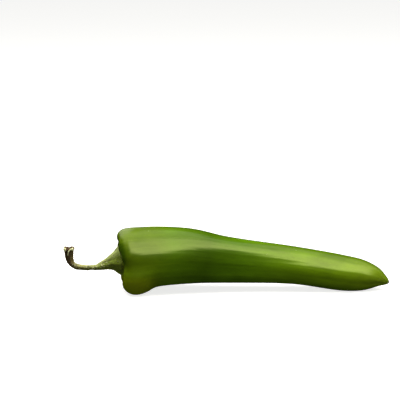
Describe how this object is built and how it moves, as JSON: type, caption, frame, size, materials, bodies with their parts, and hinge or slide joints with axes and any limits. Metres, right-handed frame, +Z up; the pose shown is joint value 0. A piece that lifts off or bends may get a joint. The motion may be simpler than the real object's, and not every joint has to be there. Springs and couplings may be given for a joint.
{
  "type": "long green chilli pepper",
  "caption": "Long green chilli pepper lying on its side, with lobed shoulders, a tapering arched body, and a thin bent stalk that flares into a calyx.",
  "frame": {"origin": "on the table, under the middle of the pepper's bounding box", "axes": "+X from the stalk end to the tip, +Y to the back, +Z up"},
  "size_m": [0.1966, 0.0414, 0.0394],
  "materials": {
    "skin": "waxy, semi-gloss skin of a fresh green chilli, stands in as gloss plastic",
    "stalk": "matt, ribbed and fibrous green-grey stalk, brown and dry at its cut end"
  },
  "bodies": {
    "root": {"pod": "skin", "stalk": "stalk"}
  },
  "joints": []
}
